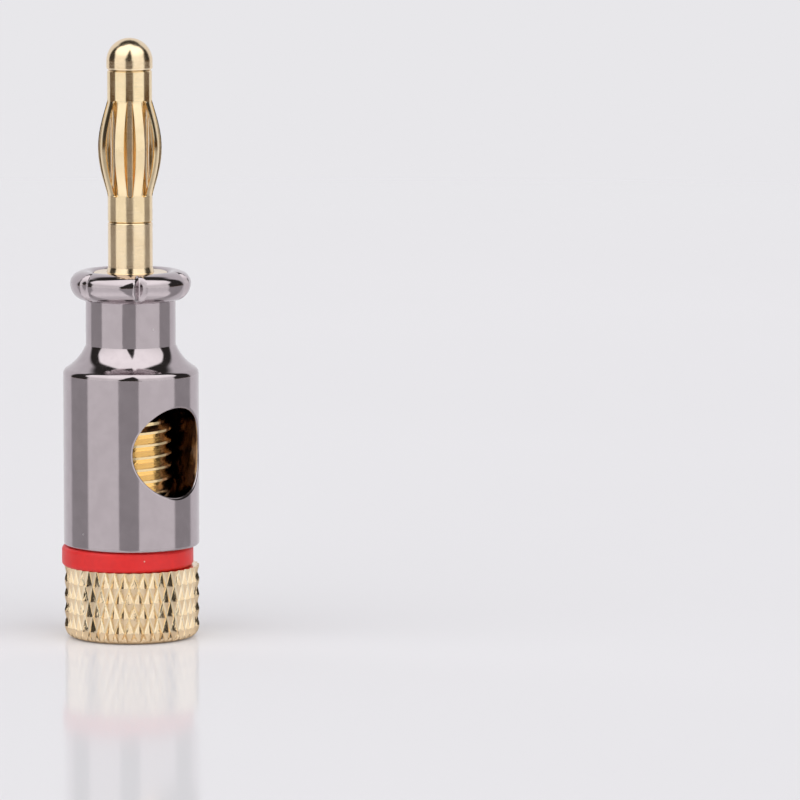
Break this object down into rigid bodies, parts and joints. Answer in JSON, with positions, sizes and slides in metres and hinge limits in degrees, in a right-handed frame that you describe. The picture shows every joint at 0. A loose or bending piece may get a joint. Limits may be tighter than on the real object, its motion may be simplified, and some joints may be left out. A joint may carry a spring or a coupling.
{
  "type": "banana plug",
  "caption": "Screw-type speaker banana plug: plated shell with side wire hole, lantern-spring pin for a 4 mm socket, colour ring and knurled tail screw that clamps the wire.",
  "frame": {"origin": "on the plug's axis, in the flat rear end of the tail screw that the plug stands on", "axes": "+Z along the plug's axis towards the pin's nose, -Y out of the side wire hole"},
  "size_m": [0.0101, 0.01, 0.0443],
  "materials": {
    "black_nickel": "polished black nickel plate on brass",
    "gold_plate": "polished gold plate",
    "spring_gold": "polished gold plate on spring bronze",
    "red_plastic": "satin moulded plastic",
    "knurled_gold": "gold plate over a diamond knurl"
  },
  "bodies": {
    "plug": {"shell": "black_nickel", "banana_pin": "gold_plate", "lantern_spring": "spring_gold"},
    "ring": {"colour_ring": "red_plastic"},
    "screw": {"tail_screw": "knurled_gold"}
  },
  "joints": [
    {"name": "tail_turn", "type": "hinge", "parent": "screw", "child": "ring", "pos_m": [0, 0, 0], "axis": [0, 0, 1], "range_deg": [0, 3240]},
    {"name": "tail_travel", "type": "slide", "parent": "ring", "child": "plug", "axis": [0, 0, 1], "range_m": [0, 0.0081]}
  ],
  "couplings": [
    {"joint": "tail_turn", "follows": "tail_travel", "rad_per_m": 6981.3}
  ]
}
